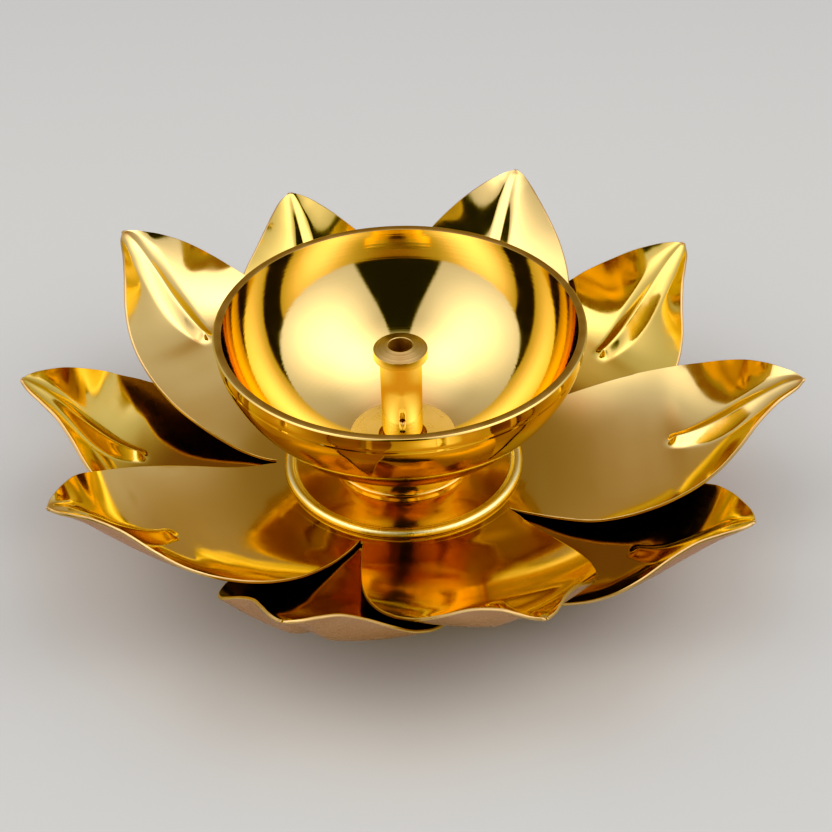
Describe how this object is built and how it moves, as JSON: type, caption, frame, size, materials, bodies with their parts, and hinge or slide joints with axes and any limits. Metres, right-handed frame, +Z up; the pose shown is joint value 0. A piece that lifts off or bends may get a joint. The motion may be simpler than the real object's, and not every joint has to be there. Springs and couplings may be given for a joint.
{
  "type": "lotus oil lamp",
  "caption": "Lotus-shaped brass oil lamp: a round oil bowl with a central wick post, on a saucer, two layers of leaf-shaped sheet petals and a standing ring, clamped by one bolt.",
  "frame": {"origin": "on the lamp's axis, on the plane of the standing ring's bottom face", "axes": "+Z up along the lamp's axis, +X along one petal of the upper layer"},
  "size_m": [0.1233, 0.1192, 0.0371],
  "materials": {
    "bowl_brass": "polished and lacquered, fine turning lines, matt brown rim",
    "turned_brass": "polished and lacquered, turned",
    "holder_brass": "turned, dull on top",
    "petal_brass": "polished and lacquered sheet",
    "bolt_steel": "plated, slightly dull"
  },
  "bodies": {
    "lamp": {"base_ring": "turned_brass", "clamp_bolt": "bolt_steel", "lock_washer": "bolt_steel", "flat_washer": "bolt_steel", "sheet_spacer": "turned_brass", "saucer": "turned_brass", "bowl": "bowl_brass"},
    "upper_layer": {"petals_upper": "petal_brass"},
    "lower_layer": {"petals_lower": "petal_brass"},
    "holder": {"wick_holder": "holder_brass"}
  },
  "joints": [
    {"name": "wick_holder_lift", "type": "slide", "parent": "lamp", "child": "holder", "axis": [0, 0, 1], "range_m": [0, 0.03]},
    {"name": "upper_layer_turn", "type": "hinge", "parent": "lamp", "child": "upper_layer", "pos_m": [0, 0, 0.0095], "axis": [0, 0, 1], "range_deg": [-5, 5]},
    {"name": "lower_layer_turn", "type": "hinge", "parent": "lamp", "child": "lower_layer", "pos_m": [0, 0, 0.0085], "axis": [0, 0, 1], "range_deg": [-5, 5]}
  ]
}
